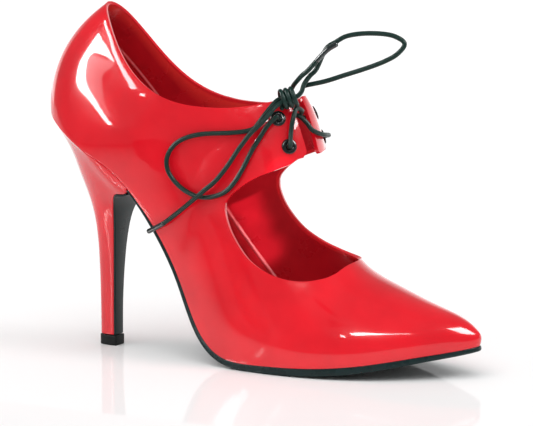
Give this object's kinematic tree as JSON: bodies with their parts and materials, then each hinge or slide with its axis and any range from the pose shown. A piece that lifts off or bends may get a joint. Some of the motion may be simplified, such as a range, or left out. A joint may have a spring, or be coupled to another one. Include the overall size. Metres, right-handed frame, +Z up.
{
  "type": "stiletto heel shoe",
  "caption": "Pointed-toe patent pump on a stiletto heel, with an oval cut-out over the instep and an instep strap tied with a round cord in a bow.",
  "frame": {"origin": "middle of the footprint of the shoe's box on the floor, measured without the bow", "axes": "+X from the heel to the toe, +Y to the inner side of the foot, +Z up"},
  "size_m": [0.2294, 0.074, 0.1741],
  "materials": {
    "patent_red": "patent, mirror gloss",
    "insole_red": "smooth, soft sheen",
    "sole_black": "satin",
    "top_piece_black": "matt",
    "eyelet_black": "gloss enamel",
    "cord_black": "waxed"
  },
  "bodies": {
    "root": {"upper": "patent_red", "heel": "patent_red", "insole": "insole_red", "outsole": "sole_black", "heel_breast": "sole_black", "top_piece": "top_piece_black", "eyelet_outer_lower": "eyelet_black", "eyelet_outer_upper": "eyelet_black", "eyelet_inner_lower": "eyelet_black", "eyelet_inner_upper": "eyelet_black", "lace_crossing": "cord_black", "lace_knot": "cord_black", "lace_loop_left": "cord_black", "lace_loop_right": "cord_black", "lace_end_left": "cord_black", "lace_end_right": "cord_black"}
  },
  "joints": []
}
